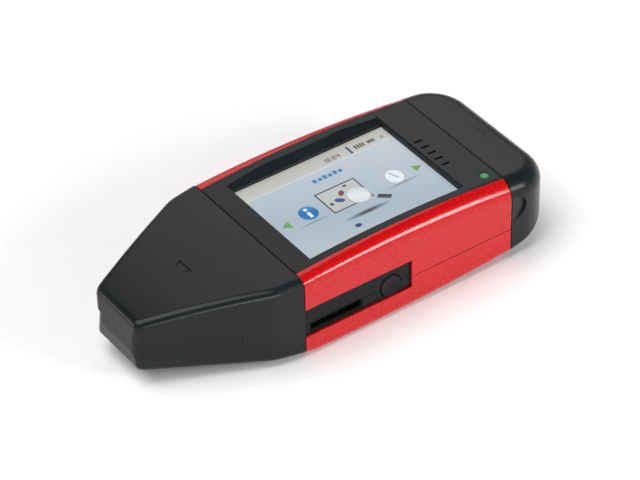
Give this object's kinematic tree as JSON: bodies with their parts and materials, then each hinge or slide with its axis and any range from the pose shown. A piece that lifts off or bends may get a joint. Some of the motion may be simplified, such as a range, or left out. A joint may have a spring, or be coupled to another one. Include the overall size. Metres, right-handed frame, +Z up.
{
  "type": "obd code reader",
  "caption": "Hand-held vehicle code reader with a colour screen, side card slot and button, and pull-off end caps over a vehicle plug and a USB plug.",
  "frame": {"origin": "middle of the outline, on the flat underside", "axes": "+X along the reader to the USB end cap, +Z up out of the screen, -Y the side with the card slot and button"},
  "size_m": [0.1281, 0.0528, 0.0278],
  "materials": {
    "red_shell": "glossy red with a fine metallic sparkle",
    "black_cover": "fine matte texture",
    "black_cap": "fine matte texture",
    "black_panel": "satin",
    "label": "printed silver label, blank",
    "screen_glass": "clear, polished",
    "display": "lit panel",
    "tray": "stamped",
    "frame": "moulded",
    "board": "solder mask",
    "chip": "moulded package",
    "steel": "plated",
    "contact": "gold plated",
    "insulator": "moulded",
    "white_insulator": "moulded",
    "seal": "matt",
    "battery": "foil pouch",
    "flex": "polyimide film",
    "lamp": "translucent green, lit"
  },
  "bodies": {
    "reader": {"upper_shell": "red_shell", "lower_shell": "red_shell", "top_cover": "black_cover", "bottom_cover": "black_cover", "rating_plate": "label", "housing_screws": "steel", "side_panel_upper": "black_panel", "side_panel_lower": "black_panel", "push_switch": "insulator", "plug_neck": "insulator", "plug_seal": "seal", "usb_neck": "insulator", "usb_seal": "seal", "plug_shroud": "insulator", "plug_blades": "contact", "plug_board": "board", "usb_shell": "steel", "usb_tongue": "white_insulator", "usb_contacts": "contact", "touch_glass": "screen_glass", "display_panel": "display", "display_tray": "tray", "mid_frame": "frame", "display_flex": "flex", "flex_connector": "insulator", "main_board": "board", "board_chips": "chip", "buzzer": "chip", "backup_cell": "steel", "status_led": "lamp", "light_pipe": "lamp", "card_socket": "steel", "card_contacts": "contact", "battery": "battery", "battery_pad": "seal", "battery_connector": "white_insulator", "battery_leads": "insulator"},
    "plug_cap": {"plug_cap": "black_cap"},
    "usb_cap": {"usb_cap": "black_cap"},
    "power_button": {"power_button": "black_panel"}
  },
  "joints": [
    {"name": "plug_cap_slide", "type": "slide", "parent": "reader", "child": "plug_cap", "axis": [-1, 0, 0], "range_m": [0, 0.045]},
    {"name": "usb_cap_slide", "type": "slide", "parent": "reader", "child": "usb_cap", "axis": [1, 0, 0], "range_m": [0, 0.025]},
    {"name": "power_button_press", "type": "slide", "parent": "reader", "child": "power_button", "axis": [0, 1, 0], "range_m": [0, 0.0006], "stiffness_N_per_m": 1500}
  ]
}
